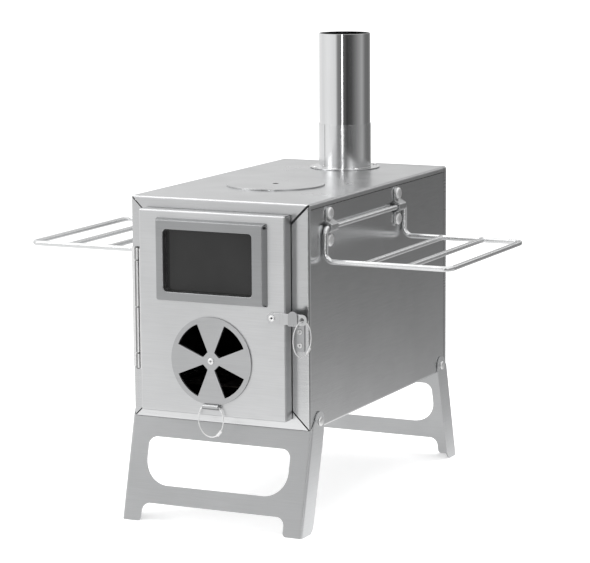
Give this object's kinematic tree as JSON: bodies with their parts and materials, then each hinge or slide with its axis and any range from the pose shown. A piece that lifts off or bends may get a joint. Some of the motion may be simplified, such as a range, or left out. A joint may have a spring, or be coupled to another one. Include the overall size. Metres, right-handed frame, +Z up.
{
  "type": "tent wood stove",
  "caption": "Folding box wood stove with a glazed door, rotating air vent, flue stub, lift-off cooking lid, wire side shelves and folding legs.",
  "frame": {"origin": "on the ground, under the middle of the stove's bounding box", "axes": "+Z up, +X to the right seen from the door, -Y out of the door"},
  "size_m": [0.511, 0.4446, 0.513],
  "materials": {
    "body_sheet": "brushed, satin",
    "side_sheet": "bright rolled, smooth",
    "door_sheet": "satin",
    "window_frame_sheet": "satin, slightly darker",
    "leg_sheet": "satin",
    "polished_pipe": "mirror polished",
    "wire_steel": "bright drawn wire",
    "rivet_steel": "polished",
    "grate_sheet": "dulled by heat",
    "window_glass": "clear heat-resistant glass, dark firebox behind it"
  },
  "bodies": {
    "firebox": {"top_panel": "body_sheet", "left_side_panel": "side_sheet", "right_side_panel": "side_sheet", "bottom_panel": "body_sheet", "back_panel": "body_sheet", "flue_collar": "body_sheet", "collar_rivet_1": "rivet_steel", "collar_rivet_2": "rivet_steel", "collar_rivet_3": "rivet_steel", "collar_rivet_4": "rivet_steel", "fire_grate": "grate_sheet", "latch_keeper": "body_sheet", "keeper_rivet_1": "rivet_steel", "keeper_rivet_2": "rivet_steel", "hinge_body_leaf": "body_sheet", "hinge_pin": "rivet_steel", "shelf_bracket_left_front": "body_sheet", "shelf_bracket_left_rear": "body_sheet", "shelf_bracket_right_front": "body_sheet", "shelf_bracket_right_rear": "body_sheet", "bracket_rivet_left_front_upper": "rivet_steel", "bracket_rivet_left_front_lower": "rivet_steel", "bracket_rivet_left_rear_upper": "rivet_steel", "bracket_rivet_left_rear_lower": "rivet_steel", "bracket_rivet_right_front_upper": "rivet_steel", "bracket_rivet_right_front_lower": "rivet_steel", "bracket_rivet_right_rear_upper": "rivet_steel", "bracket_rivet_right_rear_lower": "rivet_steel", "leg_rivet_front_left": "rivet_steel", "leg_rivet_front_right": "rivet_steel", "leg_rivet_rear_left": "rivet_steel", "leg_rivet_rear_right": "rivet_steel"},
    "door": {"door_panel": "door_sheet", "window_frame": "window_frame_sheet", "window_glass": "window_glass", "glass_clip_top": "door_sheet", "glass_clip_bottom": "door_sheet", "hinge_door_leaf": "body_sheet", "vent_rivet": "rivet_steel", "latch_rivet": "rivet_steel"},
    "air_vent": {"air_vent_disc": "body_sheet"},
    "vent_pull": {"vent_ring": "wire_steel"},
    "latch": {"latch_arm": "body_sheet"},
    "latch_pull": {"latch_ring": "wire_steel"},
    "cooking_lid": {"cooktop_lid": "body_sheet"},
    "flue": {"flue_pipe": "polished_pipe"},
    "right_shelf": {"shelf_right": "wire_steel"},
    "left_shelf": {"shelf_left": "wire_steel"},
    "front_leg_pair": {"front_leg": "leg_sheet"},
    "rear_leg_pair": {"rear_leg": "leg_sheet"}
  },
  "joints": [
    {"name": "door_hinge", "type": "hinge", "parent": "firebox", "child": "door", "pos_m": [-0.097, -0.199, 0.2325], "axis": [0, 0, -1], "range_deg": [0, 130]},
    {"name": "vent_turn", "type": "hinge", "parent": "door", "child": "air_vent", "pos_m": [-0.0025, -0.20895, 0.182], "axis": [0, 1, 0], "range_deg": [-45, 0]},
    {"name": "vent_pull_swing", "type": "hinge", "parent": "air_vent", "child": "vent_pull", "pos_m": [-0.0025, -0.2113, 0.1323], "axis": [-1, 0, 0], "range_deg": [0, 100]},
    {"name": "latch_lift", "type": "hinge", "parent": "door", "child": "latch", "pos_m": [0.0705, -0.20895, 0.234], "axis": [0, -1, 0], "range_deg": [0, 60]},
    {"name": "latch_pull_swing", "type": "hinge", "parent": "latch", "child": "latch_pull", "pos_m": [0.1055, -0.20895, 0.234], "axis": [0, 1, 0], "range_deg": [-25, 10]},
    {"name": "cooking_lid_lift", "type": "slide", "parent": "firebox", "child": "cooking_lid", "axis": [0, 0, 1], "range_m": [0, 0.06]},
    {"name": "flue_pipe_lift", "type": "slide", "parent": "firebox", "child": "flue", "axis": [0, 0, 1], "range_m": [0, 0.06]},
    {"name": "right_shelf_fold", "type": "hinge", "parent": "firebox", "child": "right_shelf", "pos_m": [0.1104, -0.0515, 0.3255], "axis": [0, -1, 0], "range_deg": [0, 180]},
    {"name": "left_shelf_fold", "type": "hinge", "parent": "firebox", "child": "left_shelf", "pos_m": [-0.1104, -0.0515, 0.3255], "axis": [0, 1, 0], "range_deg": [0, 175]},
    {"name": "front_leg_fold", "type": "hinge", "parent": "firebox", "child": "front_leg_pair", "pos_m": [0, -0.172, 0.1185], "axis": [1, 0, 0], "range_deg": [0, 104.5]},
    {"name": "rear_leg_fold", "type": "hinge", "parent": "firebox", "child": "rear_leg_pair", "pos_m": [0, 0.172, 0.1185], "axis": [-1, 0, 0], "range_deg": [0, 104.5]}
  ]
}
